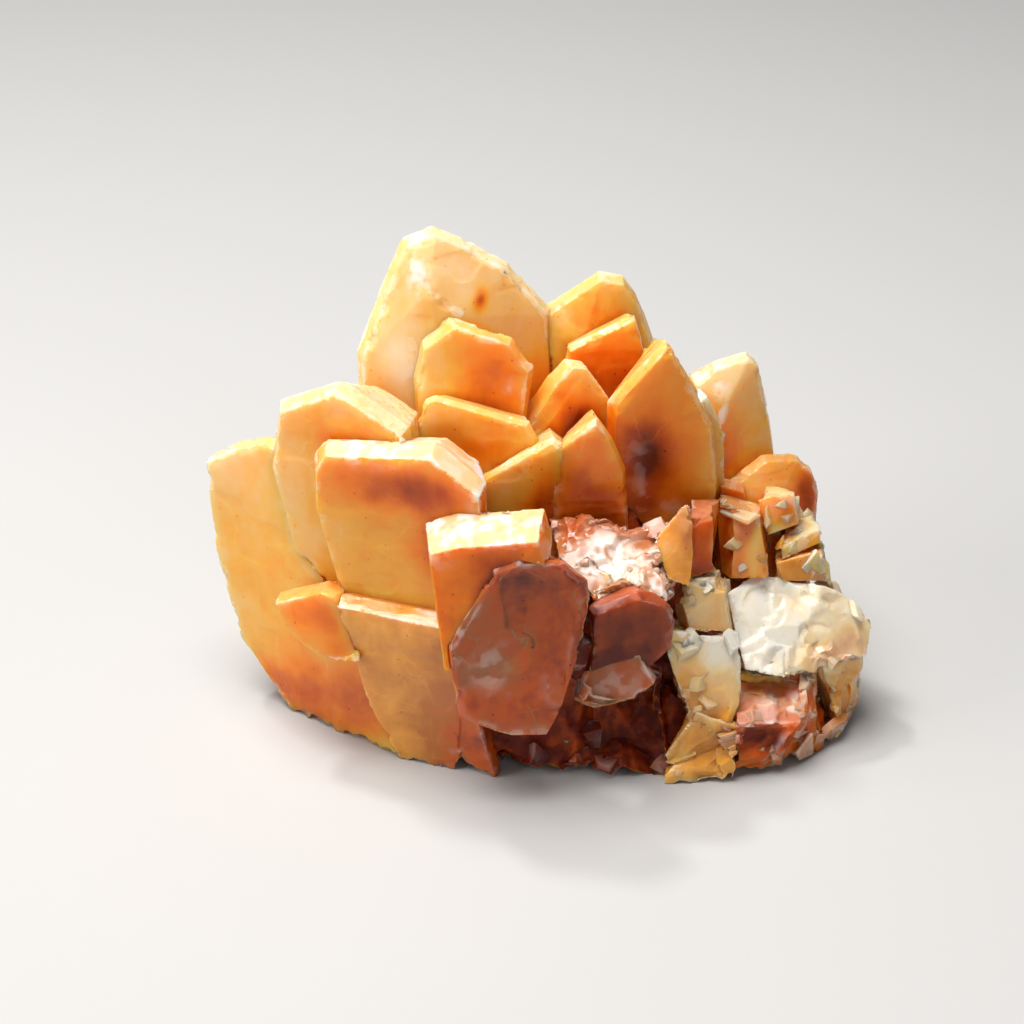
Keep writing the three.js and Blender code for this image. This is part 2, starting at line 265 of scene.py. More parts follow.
# %% Copy a crystal
SEAM_REACH = 0.75  # a neighbour nearer than this, in mm, is what the crystal grew against
OVERLAP = 0.22  # how far into that neighbour its face goes
FURTHEST = 0.9  # no corner moves further than this


def activate(piece):
    """Selects the piece alone and makes it the active one."""
    bpy.ops.object.select_all(action="DESELECT")
    piece.select_set(True)
    bpy.context.view_layer.objects.active = piece


def merged_copy(name):
    """A CAD solid's copy, in millimetres, with whole flat faces."""
    piece = bpy.data.objects.new(name + "_quartz", solids[name].copy())
    piece.data.name = piece.name
    piece.data.materials.clear()
    bpy.context.collection.objects.link(piece)
    activate(piece)
    bpy.ops.object.mode_set(mode="EDIT")
    bpy.ops.mesh.select_all(action="SELECT")
    bpy.ops.mesh.remove_doubles(threshold=0.01)
    bpy.ops.mesh.dissolve_limited(angle_limit=math.radians(2))
    bpy.ops.object.mode_set(mode="OBJECT")
    return piece


# %% Close its seams
def close_seams(mesh, older):
    """Moves the faces that stopped at an older crystal into it, and says which faces stay free."""
    moves = []
    for face in mesh.polygons:
        seen = older.ray_cast(face.center + 0.01 * face.normal, face.normal, SEAM_REACH)[3]
        moves.append(0 if seen is None else seen + OVERLAP)
    around = [[] for _ in mesh.vertices]
    for face in mesh.polygons:
        for i in face.vertices:
            around[i].append(face.index)
    moved = []
    for vertex, faces in zip(mesh.vertices, around):
        planes = np.array([mesh.polygons[i].normal[:] for i in faces])
        shift = np.linalg.lstsq(planes, np.array([moves[i] for i in faces]), rcond=0.15)[0]
        shift *= min(1, FURTHEST / max(np.linalg.norm(shift), 1e-9))
        moved.append(np.array(vertex.co) + shift)
    moved = np.array(moved)
    moved[:, 2] = np.maximum(moved[:, 2], 0)
    set_points(mesh, moved)
    return [move == 0 for move in moves]


# %% Refine it
def modify(piece, kind, **settings):
    """Adds a modifier, sets it and applies it."""
    activate(piece)
    bpy.ops.object.modifier_add(type=kind)
    modifier = piece.modifiers[-1]
    for key, value in settings.items():
        setattr(modifier, key, value)
    bpy.ops.object.modifier_apply(modifier=modifier.name)


def refine(piece, grain):
    """Even quads of the given size on the piece's own faces, with points on its edges."""
    edges = sharp_edges(piece.data, [True] * len(piece.data.polygons))
    pattern = bpy.data.objects.new("pattern", piece.data.copy())
    bpy.context.collection.objects.link(pattern)
    modify(piece, "REMESH", mode="VOXEL", voxel_size=grain, use_smooth_shade=True)
    modify(piece, "SHRINKWRAP", target=pattern, wrap_method="NEAREST_SURFACEPOINT")
    bpy.data.objects.remove(pattern)
    points, _ = points_of(piece.data)
    away, place = nearest_edge(points, *edges)
    near = away < 0.5 * grain
    points[near] = place[near]
    set_points(piece.data, points)


# %% [markdown]
# ## What happens to a crystal's surface
# Each shaping step reads the points and returns how far to move them. Edges lose small shell-shaped bites,
# faces carry faint ripples and steps, and broken quartz is covered with small flat facets that meet in
# sharp, shallow ridges. It is done with arrays, because the points are many and every one moves by a rule.


# %% Bites and ripples
BITE_REACH = 0.55  # a bite goes no further than this from its edge, in mm
WAVE = 0.05  # the height of the broadest waves, in mm
RIPPLE = 0.02  # the height of the small ones
STEP = 0.05  # the depth of a growth step
FLATTER = (1, 1, 2.2)  # growth steps are longer across than they are high


def bites(points, rim, depth, seed):
    """Small chips out of the edges."""
    where = ramp(noise(points, 1.1, seed) + 0.5 * noise(points, 0.45, seed + 1), 0.15, 0.75)
    return -depth * where * ramp(rim, BITE_REACH, 0.0)


def ripples(points, seed):
    """The faint waves and growth steps of a natural face."""
    wide = WAVE * noise(points, 3.2, seed) + RIPPLE * noise(points, 1.1, seed + 1)
    step = ramp(noise(points * FLATTER, 2.6, seed + 2), 0.28, 0.36)
    return wide - STEP * step


# %% Facets
FEWEST, MOST = 14, 420  # facets on one crystal
COVER = 1.8  # how many facets share each square of their own width
AT_ONCE = 4096  # points measured together, to save memory


def facets(points, normals, width, tilt, seed, deepest=0.4, steep=1.2):
    """Flat facets of about this width, each a plane that tilts its own way and only cuts inwards.

    No cut is deeper than deepest widths. Past its own width a plane rises, and steep says how fast.
    """
    random = np.random.default_rng(seed)
    lengths = np.sort(np.ptp(points, axis=0))
    count = int(np.clip(COVER * lengths[1] * lengths[2] / width**2, FEWEST, MOST))
    picked = random.choice(len(points), count, replace=False)
    centres = points[picked]
    axes = normals[picked] + random.normal(0, tilt, (count, 3))
    axes /= np.linalg.norm(axes, axis=1)[:, None]
    move = np.empty_like(points)
    uneven = width * (1 + 0.35 * noise(points, 1.3 * width, seed + 20))
    for start in range(0, len(points), AT_ONCE):
        part = slice(start, start + AT_ONCE)
        offset = centres[None] - points[part, None]
        far = np.maximum(np.linalg.norm(offset, axis=2) - uneven[part, None], 0)
        height = (offset * axes[None]).sum(2) + steep * far
        lowest = height.argmin(1)
        cut = np.clip(height.min(1), -deepest * width, 0)
        move[part] = cut[:, None] * axes[lowest]
    return move


# %% [markdown]
# ## Where the colour lies
# Iron went into this quartz in clouds while it grew, so one blade runs from cream at its rim to red-brown
# in its heart. The shader can't know where those clouds are, so each point gets a tone from 0, nearly
# white, to 1, maroon. It starts at the crystal's own tone, deepens where the quartz is thick, deepens
# again as painted shade where its neighbours shut it in, is paler on its frosted tops as painted glare of
# the light from above, fades at the rims, and then takes the clouds, which are placed by fractions of the
# crystal's width and height.


# %% Painting steps
def soften(mesh, values, rounds):
    """Averages a value with that of the points around it, a number of times."""
    ends = np.empty(len(mesh.edges) * 2, dtype=np.int64)
    mesh.edges.foreach_get("vertices", ends)
    first, second = ends.reshape(-1, 2).T
    count = np.bincount(ends, minlength=len(values)) + 1
    for _ in range(rounds):
        total = values.copy()
        np.add.at(total, first, values[second])
        np.add.at(total, second, values[first])
        values = total / count
    return values


BEND = 0.22  # how much a cloud's outline wanders, in its own half widths
FADE = 1.6  # how fast it ends


def cloud_tone(points, clouds, seed, corner, span):
    """The sum of soft blots: each is (across, up, half width in mm, half height in mm, strength).

    Across and up are counted from the corner, in spans.
    """
    bends = [noise(points, 2.2, seed + i) + 0.5 * noise(points, 0.9, seed + 9 + i) for i in (0, 1)]
    bend = BEND * np.stack(bends, axis=1)
    total = np.zeros(len(points))
    for across, up, wide, tall, strength in clouds:
        place = corner + np.multiply((across, up), span)
        away = np.linalg.norm((points[:, [0, 2]] - place) / (wide, tall) + bend, axis=1)
        total += strength * np.exp(-FADE * away**2)
    return total


# %% [markdown]
# ## Finishes
# Quartz is a clear stone that scatters light inside, so each finish is a Principled shader with strong
# subsurface scattering: red light travels furthest, which makes thin rims glow. The colours come from a
# ramp that reads the tone, and small patterns shared by all the finishes are node groups: iron wisps,
# healed cracks, specks, the ripples on natural faces and the crumbs on broken ones. Frost, which is quartz
# too rough to see through, whitens and dulls it, and the same mask carries painted glare on the tops and
# upward rims.


# %% Node helpers
def add(tree, kind, inputs=None, **settings):
    """Adds a node, sets it, and fills its inputs with values or with other nodes' outputs."""
    made = tree.nodes.new("ShaderNode" + kind)
    for key, value in settings.items():
        setattr(made, key, value)
    for key, value in (inputs or {}).items():
        if isinstance(value, bpy.types.NodeSocket):
            tree.links.new(value, made.inputs[key])
        else:
            made.inputs[key].default_value = value
    return made


def per_mm(lump):
    """The scale of a texture on coordinates in metres, for lumps of so many millimetres."""
    return 1 / (lump * MM)


def math_node(tree, operation, first, second, clamp=False):
    """The result of one sum of two values or outputs."""
    return add(tree, "Math", {0: first, 1: second}, operation=operation, use_clamp=clamp).outputs[0]


def spread(tree, value, start, end):
    """0 at start and 1 at end."""
    made = add(tree, "MapRange", {"Value": value, "From Min": start, "From Max": end})
    made.interpolation_type = "SMOOTHSTEP"
    return made.outputs[0]


def new_group(name, output, inputs=()):
    """An empty node group: its tree, its Object coordinates, its inputs and its output socket."""
    tree = bpy.data.node_groups.new(name, "ShaderNodeTree")
    for label, default in inputs:
        socket = tree.interface.new_socket(label, in_out="INPUT", socket_type="NodeSocketFloat")
        socket.default_value = default
    tree.interface.new_socket(output, in_out="OUTPUT", socket_type="NodeSocketFloat")
    given = tree.nodes.new("NodeGroupInput").outputs
    result = tree.nodes.new("NodeGroupOutput").inputs
    where = add(tree, "TexCoord").outputs["Object"]
    return tree, where, given, result[output]


# %% Iron wisps
wisps, where, given, result = new_group("iron_wisps", "Tone", [("Strength", 0.12)])
bent = add(wisps, "TexNoise", {"Vector": where, "Scale": per_mm(2.6), "Detail": 3, "Distortion": 0.8})
fine = add(wisps, "TexNoise", {"Vector": where, "Scale": per_mm(0.7), "Detail": 4, "Roughness": 0.6})
tall = add(wisps, "Mapping", {"Vector": where, "Scale": (1, 1, 0.16)}).outputs[0]
streaks = add(wisps, "TexNoise", {"Vector": tall, "Scale": per_mm(0.8), "Detail": 3})
both = math_node(wisps, "MULTIPLY_ADD", math_node(wisps, "ADD", fine.outputs[0], streaks.outputs[0]), 0.45)
both.node.inputs[2].default_value = -0.45
wide = math_node(wisps, "ADD", math_node(wisps, "SUBTRACT", bent.outputs[0], 0.5), both)
wisps.links.new(math_node(wisps, "MULTIPLY", wide, given["Strength"]), result)

# %% Healed cracks
cracks, where, _, result = new_group("healed_cracks", "Mask")
drift = add(cracks, "TexNoise", {"Vector": where, "Scale": per_mm(1.8), "Detail": 2})
bent_place = add(cracks, "VectorMath", {0: drift.outputs["Color"], "Scale": 1.6 * MM}, operation="SCALE")
place = add(cracks, "VectorMath", {0: where, 1: bent_place.outputs[0]}, operation="ADD").outputs[0]
veins = add(cracks, "TexVoronoi", {"Vector": place, "Scale": per_mm(2.8)}, feature="DISTANCE_TO_EDGE")
patchy = add(cracks, "TexNoise", {"Vector": where, "Scale": per_mm(3.5), "Detail": 1})
line = spread(cracks, veins.outputs["Distance"], 0.035, 0.0)
kept = spread(cracks, patchy.outputs[0], 0.52, 0.66)
cracks.links.new(math_node(cracks, "MULTIPLY", line, kept), result)

# %% Dark specks
specks, where, _, result = new_group("dark_specks", "Mask")
dots = add(specks, "TexVoronoi", {"Vector": where, "Scale": per_mm(0.62), "Randomness": 1})
few = add(specks, "SeparateColor", {"Color": dots.outputs["Color"]}).outputs[0]
dot = spread(specks, dots.outputs["Distance"], 0.15, 0.08)
specks.links.new(math_node(specks, "MULTIPLY", dot, spread(specks, few, 0.72, 0.8)), result)

# %% Surface of a natural face and of a broken one
skin, where, _, result = new_group("natural_skin", "Height")
ripple = add(skin, "TexNoise", {"Vector": where, "Scale": per_mm(1.1), "Detail": 2})
grain = add(skin, "TexNoise", {"Vector": where, "Scale": per_mm(0.22), "Detail": 3, "Roughness": 0.65})
fainter = math_node(skin, "MULTIPLY", grain.outputs[0], 0.3)
skin.links.new(math_node(skin, "ADD", ripple.outputs[0], fainter), result)

sugar, where, _, result = new_group("sugar_skin", "Height")
crumbs = add(sugar, "TexVoronoi", {"Vector": where, "Scale": per_mm(0.42)}, feature="SMOOTH_F1")
small = add(sugar, "TexVoronoi", {"Vector": where, "Scale": per_mm(0.17)})
lower = math_node(sugar, "MULTIPLY", small.outputs["Distance"], 0.4)
sugar.links.new(math_node(sugar, "ADD", crumbs.outputs["Distance"], lower), result)
print("shared patterns:", [g.name for g in bpy.data.node_groups])

# %% Colours by tone, as linear light
WHITE = (0.95, 0.86, 0.74)
CREAM = (0.95, 0.68, 0.34)
GOLD = (0.96, 0.48, 0.065)
AMBER = (0.92, 0.26, 0.010)
RUST = (0.58, 0.095, 0.004)
MAROON = (0.15, 0.012, 0.002)
OCHRE = (0.84, 0.38, 0.05)
BARK = (0.50, 0.16, 0.02)
MAUVE = (0.62, 0.31, 0.17)
TEAK = (0.44, 0.14, 0.025)
# the white of frost, and of the glare painted on tops and rims
FROST_AND_GLARE_COLOUR = (0.95, 0.90, 0.85)
# (tone, colour) for clear quartz, then for veiled and frosted quartz, then for golden quartz and matrix
TONES = ((0.0, WHITE), (0.2, CREAM), (0.42, GOLD), (0.6, AMBER), (0.8, RUST), (1.0, MAROON))
VEILED_TONES = ((0.0, WHITE), (0.2, CREAM), (0.45, MAUVE), (0.7, TEAK), (0.85, RUST), (1.0, MAROON))
GOLDEN_TONES = ((0.0, WHITE), (0.2, CREAM), (0.42, OCHRE), (0.65, BARK), (0.85, RUST), (1.0, MAROON))
WARM = (1.0, 0.6, 0.35)  # how far red, green and blue light travel, next to each other
NEUTRAL = (1.0, 0.9, 0.82)
print("colours of", len(TONES), "tones, from", WHITE, "to", MAROON)

# %% One quartz finish
QUARTZ_IOR = 1.54
FROST_ROUGHNESS = 0.62
INSIDE = 0.9  # the share of the light that spreads inside before it comes out again
RELIEF = 0.06 * MM  # the height of the finest ripples and crumbs
HABIT = {
    "wisp": 0.16,  # how strong each pattern is
    "crack": 0.05,
    "speck": 0.2,
    # frost_white also sets how much the glare painted on tops and rims whitens
    "frost_white": 0.85,  # how much frost whitens
    "broken": 0.0,  # how sugary the surface is
    "clear": 0.25,  # how much light goes straight through
    "gloss": 0.3,
    "reach": WARM,
    "stops": TONES,
}


def quartz(name, roughness, scatter, **changes):
    """A quartz finish whose light spreads over scatter mm inside; the changes are to HABIT."""
    habit = HABIT | changes
    material = bpy.data.materials.new(name)
    material.use_nodes = True
    tree = material.node_tree
    shader = tree.nodes["Principled BSDF"]

    def shared(group, **values):
        made = add(tree, "Group", node_tree=group)
        for key, value in values.items():
            made.inputs[key].default_value = value
        return made.outputs[0]

    def painted(mask):
        return add(tree, "Attribute", attribute_name=mask).outputs["Fac"]

    # the frost mask, which also carries the glare painted on tops and rims
    frost = painted("frost")
    tone = math_node(tree, "ADD", painted("tone"), shared(wisps, Strength=habit["wisp"]))
    speckled = math_node(tree, "MULTIPLY_ADD", shared(specks), habit["speck"])
    tree.links.new(tone, speckled.node.inputs[2])
    crack_lines = math_node(tree, "MULTIPLY", shared(cracks), habit["crack"])
    cracked = math_node(tree, "SUBTRACT", speckled, crack_lines, clamp=True)
    ramp_node = add(tree, "ValToRGB", {"Fac": cracked})
    colours = ramp_node.color_ramp.elements
    for i, (place, colour) in enumerate(habit["stops"]):
        stop = colours[i] if i < 2 else colours.new(place)
        stop.position = place
        stop.color = (*colour, 1)
    # frost whitens the colour, and so does the painted glare in the same mask
    white_share = math_node(tree, "MULTIPLY", frost, habit["frost_white"])
    whitened = add(tree, "Mix", {0: white_share}, data_type="RGBA")
    tree.links.new(ramp_node.outputs["Color"], whitened.inputs["A"])
    whitened.inputs["B"].default_value = (*FROST_AND_GLARE_COLOUR, 1)
    tree.links.new(whitened.outputs["Result"], shader.inputs["Base Color"])

    rough = add(tree, "MapRange", {"Value": frost, "To Min": roughness, "To Max": FROST_ROUGHNESS})
    tree.links.new(rough.outputs[0], shader.inputs["Roughness"])

    sugary = math_node(tree, "MULTIPLY", shared(sugar), max(habit["broken"], 0.001))
    height = math_node(tree, "ADD", shared(skin), sugary)
    bump = add(tree, "Bump", {"Height": height, "Strength": 0.45, "Distance": RELIEF})
    tree.links.new(bump.outputs[0], shader.inputs["Normal"])

    shader.inputs["Subsurface Weight"].default_value = INSIDE
    shader.inputs["Subsurface Radius"].default_value = habit["reach"]
    shader.inputs["Subsurface Scale"].default_value = scatter * MM
    shader.inputs["Specular IOR Level"].default_value = habit["gloss"]
    shader.inputs["Transmission Weight"].default_value = habit["clear"]
    shader.inputs["IOR"].default_value = QUARTZ_IOR
    return material


# %% The finishes
# name: (roughness, scatter in mm, changes to the habit)
KINDS_OF_QUARTZ = {
    "cream_quartz": (0.2, 2.6, {"wisp": 0.22, "crack": 0.03}),
    "honey_quartz": (0.18, 2.4, {"wisp": 0.22}),
    "amber_quartz": (0.18, 2.0, {"wisp": 0.2}),
    "smoky_brown_quartz": (0.25, 1.4, {"wisp": 0.2, "crack": 0.08, "gloss": 0.15}),
    "smoky_veil": (0.2, 1.6, {
        "wisp": 0.3, "crack": 0.2, "gloss": 0.25, "clear": 0.3, "stops": VEILED_TONES,
    }),
    "frosted_quartz": (0.2, 0.5, {
        "gloss": 0.5, "clear": 0.12, "wisp": 0.3, "frost_white": 0.8, "broken": 0.6,
        "reach": NEUTRAL, "stops": VEILED_TONES,
    }),
    "golden_quartz": (0.16, 0.9, {
        "gloss": 0.5, "clear": 0.12, "wisp": 0.25, "speck": 0.25, "broken": 0.15, "reach": NEUTRAL,
        "stops": GOLDEN_TONES,
    }),
    "rusty_matrix": (0.5, 0.7, {
        "wisp": 0.4, "crack": 0.0, "broken": 1.0, "clear": 0.0, "gloss": 0.2,
        "stops": GOLDEN_TONES,
    }),
}
FINISHES = {name: quartz(name, *plain, **changes) for name, (*plain, changes) in KINDS_OF_QUARTZ.items()}
print("finishes:", list(FINISHES))

# %% [markdown]
# ## Growing the crystals
# Every CAD crystal is replaced by its finished piece. A petal keeps its planes and gets ripples and small
# bites, a shard is broken into a few broad facets, a block into broad ones with small ones on them, and
# rubble into many small ones. The table says which way each one goes, its own tone, and where its clouds of
# iron are.


# %% Kinds of surface
# Each takes the points, their normals, their distances to the rim and a seed, and returns how to move them.
def petal_shape(points, normals, rim, seed):
    """Rippled faces and chipped edges."""
    return normals * (ripples(points, seed) + bites(points, rim, 0.16, seed))[:, None]


def shard_shape(points, normals, rim, seed):
    """A few broad facets, and more deeply chipped edges."""
    broad = facets(points, normals, 2.6, 0.13, seed, steep=0.35)
    return broad + normals * bites(points, rim, 0.22, seed)[:, None]


def block_shape(points, normals, rim, seed):
    """Broad facets, broken again into small ones in patches and underneath."""
    broad = facets(points, normals, 3.2, 0.16, seed)
    broken = facets(points + broad, normals, 1.0, 0.36, seed + 1)
    rough = ramp(noise(points, 2.8, seed + 2) - 0.4 * normals[:, 2], -0.3, 0.2)
    return broad + broken * (0.3 + 0.7 * rough[:, None])


def rubble_shape(points, normals, rim, seed):
    """Small facets on coarse ones, all over."""
    coarse = facets(points, normals, 2.0, 0.3, seed)
    return coarse + facets(points + coarse, normals, 0.8, 0.25, seed + 1)


HOLLOW = (5.5, 4.0)  # the middle of the dark hollow in the root's front, across and up, in mm
HOLLOW_REACH = (3.6, 4.2)
HOLLOW_DEPTH = 2.6
PIT_DEPTH = 0.9
ROOT_FRONT = (-8, -9)  # the hollow fades in between these places along Y


def root_shape(points, normals, rim, seed):
    """Pitted rubble with a hollow in its front."""
    pitted = normals * (PIT_DEPTH * np.minimum(noise(points, 2.6, seed), 0))[:, None]
    from_hollow = np.linalg.norm((points[:, [0, 2]] - HOLLOW) / HOLLOW_REACH, axis=1)
    facing = ramp(-normals[:, 1], 0.1, 0.5)
    pitted[:, 1] += HOLLOW_DEPTH * ramp(from_hollow, 1.2, 0.5) * facing * ramp(points[:, 1], *ROOT_FRONT)
    return pitted + rubble_shape(points + pitted, normals, rim, seed)


FOOT_HEIGHT = 0.8  # the knapped rim is uneven up to here, in mm
FOOT_RISE = 0.5


def ragged_foot(points, seed):
    """How far a point near the ground is raised, so that the knapped rim is uneven."""
    teeth = ramp(noise(points, 1.6, seed) + 0.7 * noise(points, 0.6, seed + 1), -0.1, 0.7)
    return FOOT_RISE * teeth * ramp(points[:, 2], FOOT_HEIGHT, 0)


# kind: (its shaping, the size of its quads in mm)
SHAPES = {
    "petal": (petal_shape, 0.15),
    "rear": (petal_shape, 0.2),
    "shard": (shard_shape, 0.14),
    "block": (block_shape, 0.12),
    "rubble": (rubble_shape, 0.12),
    "root": (root_shape, 0.24),
}


# %% The crystals
# name: (finish, kind of surface, tone, frost and painted glare, clouds), from the oldest crystal to the
# youngest
CRYSTALS = {
    "root_matrix": ("rusty_matrix", "root", 1.0, 0.1, []),
    "front_lens": ("smoky_veil", "shard", 0.83, 0.1, [
        (0.3, 0.42, 2.6, 2.6, -0.12), (0.15, 0.75, 2, 3, -0.1), (0.95, 0.5, 1.5, 4, 0.1),
        (0.6, 0.9, 3, 1.5, 0.08),
    ]),
    "front_block": ("smoky_brown_quartz", "petal", 0.55, 1.0, [
        (0.62, 0.62, 2.8, 3.4, 0.40), (0.1, 0.3, 2, 4, 0.1),
    ]),
    "dark_lens": ("smoky_brown_quartz", "shard", 0.92, 0.1, [(0.5, 0.95, 3, 1.2, -0.1)]),
    "glassy_shard": ("smoky_veil", "shard", 0.84, 0.35, []),
    "front_left_petal": ("amber_quartz", "petal", 0.4, 1.0, [
        (0.62, 0.80, 6, 2.2, 0.42), (0.75, 0.48, 2.2, 3, 0.34), (0.1, 0.5, 1.2, 6, -0.06),
    ]),
    "front_left_root_petal": ("golden_quartz", "petal", 0.46, 0.1, [
        (0.85, 0.3, 5, 6.5, 0.36), (0.95, 0.1, 4, 4, 0.2),
    ]),
    "left_bud": ("amber_quartz", "petal", 0.5, 0.25, [
        (0.5, 0.65, 2, 1.6, 0.15), (0.7, 0.2, 1.6, 1.6, 0.12),
    ]),
    "left_petal": ("honey_quartz", "petal", 0.33, 0.6, [
        (0.5, 0.78, 3.6, 2.0, 0.26), (0.1, 0.5, 1.5, 6, -0.06),
    ]),
    "left_outer_petal": ("cream_quartz", "petal", 0.34, 0.25, [
        (0.75, 0.15, 7, 4.5, 0.36), (0.3, 0.05, 5, 3, 0.3), (0.35, 0.55, 3, 4, 0.08),
        (0.05, 0.9, 3, 3, -0.12),
    ]),
    "tall_petal": ("cream_quartz", "petal", 0.24, 0.45, [
        (0.45, 0.70, 3.5, 3.5, 0.1), (0.9, 0.45, 4, 5, 0.2), (0.62, 0.79, 0.45, 0.8, 0.5),
        (0.22, 0.62, 1.6, 3, -0.2),
    ]),
    "centre_left_block": ("amber_quartz", "petal", 0.42, 0.3, [
        (0.1, 0.8, 1.5, 5, -0.1), (0.65, 0.66, 3, 4.5, 0.24),
    ]),
    "centre_left_step": ("honey_quartz", "petal", 0.38, 0.3, [
        (0.5, 0.72, 2.6, 1.8, 0.2), (0.05, 0.8, 1, 3, -0.08), (0.8, 0.55, 2, 1.8, 0.2),
    ]),
    "front_peak_right": ("amber_quartz", "petal", 0.47, 0.4, [(0.55, 0.5, 3.5, 4, 0.3)]),
    "front_peak_left": ("amber_quartz", "petal", 0.38, 0.4, [(0.8, 0.5, 3, 3.5, 0.36)]),
    "centre_petal": ("amber_quartz", "petal", 0.36, 0.3, [(0.65, 0.55, 2.2, 3, 0.4)]),
    "back_petal_step": ("amber_quartz", "petal", 0.4, 0.3, [(0.65, 0.68, 2.6, 3.4, 0.26)]),
    "back_petal": ("honey_quartz", "petal", 0.33, 0.3, [(0.55, 0.76, 2.8, 3, 0.28)]),
    "right_petal": ("smoky_brown_quartz", "petal", 0.46, 0.3, [
        (0.38, 0.5, 2.4, 3.4, 0.5), (0.3, 0.2, 3, 3, 0.3),
    ]),
    "right_spine": ("honey_quartz", "petal", 0.45, 1.0, [
        (0.5, 0.3, 2, 3, 0.25), (0.3, 0.95, 1.2, 1.2, -0.3),
    ]),
    "right_back_petal": ("honey_quartz", "petal", 0.3, 0.5, [
        (0.35, 0.58, 2.2, 3.4, 0.34), (0.25, 0.95, 1.8, 1.2, -0.15),
    ]),
    "right_wedge": ("amber_quartz", "petal", 0.68, 0.4, [(1, 0.9, 1, 1, -0.15)]),
    "right_low_petal": ("honey_quartz", "petal", 0.5, 0.3, [
        (0.85, 0.75, 1.8, 2.2, 0.34), (0.5, 0.6, 2, 2, 0.1),
    ]),
    "beige_shard": ("golden_quartz", "shard", 0.50, 0.5, [(0.9, 0.8, 1, 1.5, 0.2)]),
    "frosty_saddle": ("frosted_quartz", "rubble", 0.76, 0.1, [
        (0.48, 0.62, 2.8, 1.2, -0.6), (0.85, 0.6, 1.5, 1.5, -0.3),
    ]),
    "amber_column": ("amber_quartz", "shard", 0.76, 0.3, [(0.9, 0.6, 0.6, 2, -0.1)]),
    "milky_slab": ("frosted_quartz", "block", 0.1, 0.55, [(0.7, 0.2, 4, 1.8, 0.25)]),
    "brown_root_block": ("honey_quartz", "shard", 0.66, 0.5, [(0.75, 0.6, 0.8, 2.5, -0.35)]),
    "right_cube_upper": ("amber_quartz", "shard", 0.58, 0.8, [(0.5, 0.4, 1, 0.8, -0.35)]),
    "right_cube_ledge": ("amber_quartz", "shard", 0.55, 0.8, []),
    "right_cube_lower": ("golden_quartz", "shard", 0.5, 0.4, []),
    "yellow_shard": ("golden_quartz", "block", 0.27, 0.5, [
        (0.75, 0.85, 2, 1.8, -0.25), (0.2, 0.4, 2, 2.5, 0.25), (0.6, 0.1, 2.5, 1.5, 0.25),
    ]),
    "beige_splinter": ("golden_quartz", "shard", 0.26, 0.5, [(1, 0.9, 1, 1.5, 0.2)]),
    "golden_shard": ("golden_quartz", "block", 0.38, 0.3, []),
    "rusty_lump": ("rusty_matrix", "rubble", 0.7, 0.3, [
        (0.4, 0.95, 3, 1.4, -0.4), (0.9, 0.8, 1.5, 1.5, -0.25), (0.5, 0.35, 3, 1, 0.15),
    ]),
    "end_block": ("golden_quartz", "block", 0.22, 0.3, [(0.5, 0.2, 3, 2.5, 0.35)]),
    "rear_left_petal": ("cream_quartz", "rear", 0.3, 0.35, [(0.5, 0.2, 4, 4, 0.2)]),
    "rear_petal_1": ("honey_quartz", "rear", 0.36, 0.35, [(0.5, 0.6, 4, 3, 0.25), (0.6, 0.15, 4, 3, 0.25)]),
    "rear_petal_2": ("cream_quartz", "rear", 0.3, 0.35, [(0.55, 0.7, 3, 3, 0.2), (0.4, 0.15, 4, 3, 0.3)]),
    "rear_petal_3": ("amber_quartz", "rear", 0.42, 0.35, [(0.45, 0.6, 3, 3, 0.25)]),
    "rear_right_petal": ("honey_quartz", "rear", 0.38, 0.35, [(0.5, 0.5, 3, 3, 0.2)]),
    "rear_low_left": ("amber_quartz", "rear", 0.46, 0.35, [(0.5, 0.4, 3, 3, 0.25)]),
    "rear_low_middle": ("golden_quartz", "rear", 0.42, 0.35, [(0.5, 0.4, 3, 3, 0.2)]),
    "rear_low_right": ("honey_quartz", "rear", 0.4, 0.35, [(0.5, 0.4, 3, 3, 0.2)]),
}

# %% Frosted patches and painted glints
# name: clouds, as above, that whiten and roughen. Those on front_lens and right_petal are frost and healed
# fractures; those on tall_petal and centre_left_block are painted glints, and those along the tops of
# front_block, front_left_petal, left_petal and right_back_petal and on frosty_saddle are partly painted
# glare.
FROST_AND_GLINT_PATCHES = {
    "front_lens": [(0.3, 0.4, 1.6, 2.0, 0.6), (0.75, 0.3, 0.8, 1.8, 0.25), (0.6, 0.05, 3, 0.6, 0.3)],
    "front_block": [(0.1, 0.86, 1.0, 1.4, 0.9), (0.5, 0.92, 4, 0.5, 0.5)],
    "front_left_petal": [(0.3, 0.95, 3, 0.8, 0.7), (0.95, 0.8, 0.8, 0.8, 0.6)],
    "left_petal": [(0.25, 0.98, 3, 0.5, 0.6)],
    "tall_petal": [(0.3, 0.92, 0.6, 1.8, 1.8), (0.3, 0.62, 0.9, 2.0, 0.3)],
    "right_petal": [(0.35, 0.33, 0.7, 1.6, 0.5), (0.6, 0.25, 1.0, 0.6, 0.4), (0.3, 0.5, 0.8, 1.5, 0.3)],
    "right_back_petal": [(0.35, 0.9, 0.7, 1.2, 0.8)],
    "right_low_petal": [(0.45, 0.7, 0.8, 1.0, 0.5)],
    "centre_left_block": [(0.8, 0.72, 0.5, 0.6, 0.4)],
    "glassy_shard": [(0.5, 0.5, 2.5, 1.5, 0.4)],
    "frosty_saddle": [(0.45, 0.68, 2.6, 1.0, 1.8), (0.75, 0.45, 1.6, 1.2, 0.8)],
    "milky_slab": [(0.2, 0.7, 3, 2, 0.4)],
    "rusty_lump": [(0.6, 0.7, 2.5, 1.0, 0.5)],
}
# clouds that run on from one broken block to the next, with their places in mm
ZONES = [
    (13, 9.4, 3.2, 2.4, -0.22),
    (14.5, 3.6, 4, 1.8, 0.2),
    (21.5, 4, 2.5, 2.5, 0.14),
    (10, 2.5, 3, 2, 0.1),
    (19, 7.6, 4, 0.9, 0.12),
]
print("crystals in only one of the table and the frame:", set(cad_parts) ^ set(CRYSTALS))


